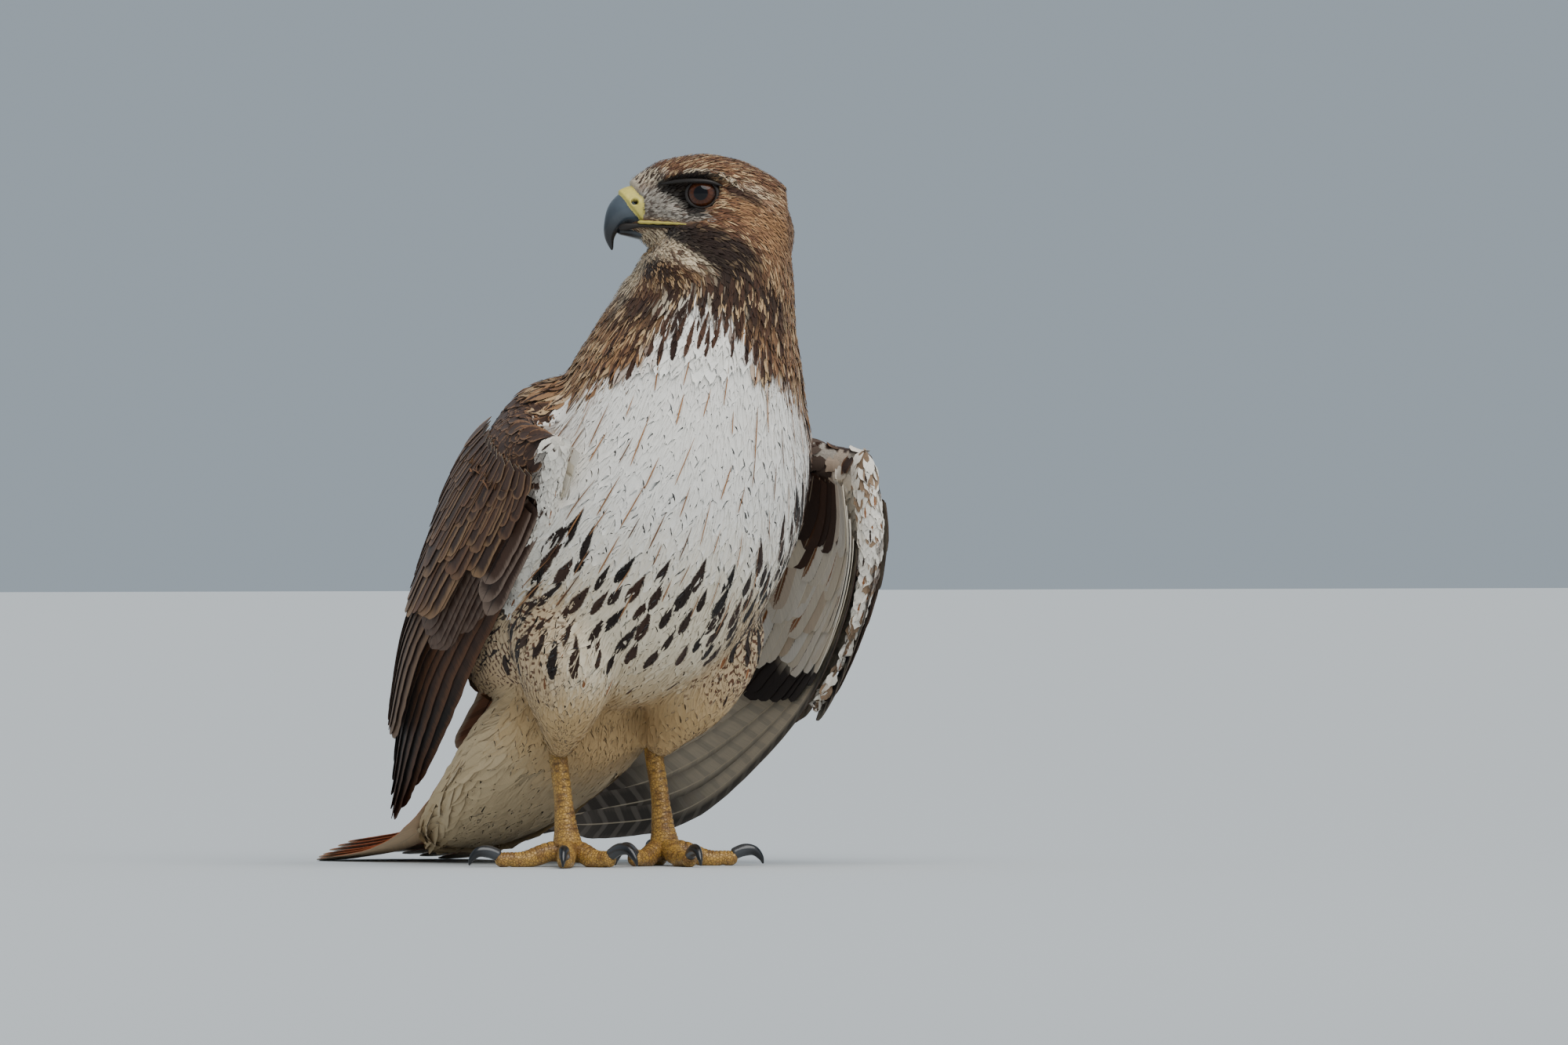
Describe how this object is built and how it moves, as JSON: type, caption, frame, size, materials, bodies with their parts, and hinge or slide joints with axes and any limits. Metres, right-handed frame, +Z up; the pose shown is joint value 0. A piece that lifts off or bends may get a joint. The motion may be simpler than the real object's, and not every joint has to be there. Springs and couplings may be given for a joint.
{
  "type": "standing hawk model",
  "caption": "Life-size standing hawk with hooked bill, half-open drooped wings, banded white breast, scaly yellow feet and a rufous tail resting on the floor.",
  "frame": {"origin": "on the floor, under the middle of the whole bird", "axes": "+Z up, -Y towards the breast, +X to the left side of the bird"},
  "size_m": [0.2294, 0.3586, 0.3623],
  "materials": {
    "feather_white": "soft white and buff breast feathers, matt",
    "feather_brown": "overlapping brown contour feathers, matt",
    "feather_rufous": "stiff rufous tail feathers, faint sheen",
    "cere_skin": "waxy yellow skin, satin",
    "horn": "dark grey horn, polished",
    "eye_gloss": "wet, clear and glossy",
    "feather_dark": "stiff dark flight feathers, faint sheen",
    "feather_buff": "fluffy buff leg feathers, matt",
    "leg_skin": "scaly yellow skin, satin"
  },
  "bodies": {
    "root": {"torso": "feather_white", "neck": "feather_brown", "tail": "feather_rufous", "head": "feather_brown", "cere": "cere_skin", "bill_upper": "horn", "bill_lower": "horn", "eye_left": "eye_gloss", "gape_left": "cere_skin", "eye_right": "eye_gloss", "gape_right": "cere_skin", "wing_left_arm": "feather_brown", "wing_left_secondaries": "feather_dark", "wing_left_primaries": "feather_dark", "thigh_left": "feather_buff", "tarsus_left": "leg_skin", "foot_left": "leg_skin", "claw_left_hallux": "horn", "claw_left_inner": "horn", "claw_left_middle": "horn", "claw_left_outer": "horn", "wing_right_arm": "feather_brown", "wing_right_secondaries": "feather_dark", "wing_right_primaries": "feather_dark", "thigh_right": "feather_buff", "tarsus_right": "leg_skin", "foot_right": "leg_skin", "claw_right_hallux": "horn", "claw_right_inner": "horn", "claw_right_middle": "horn", "claw_right_outer": "horn"}
  },
  "joints": []
}
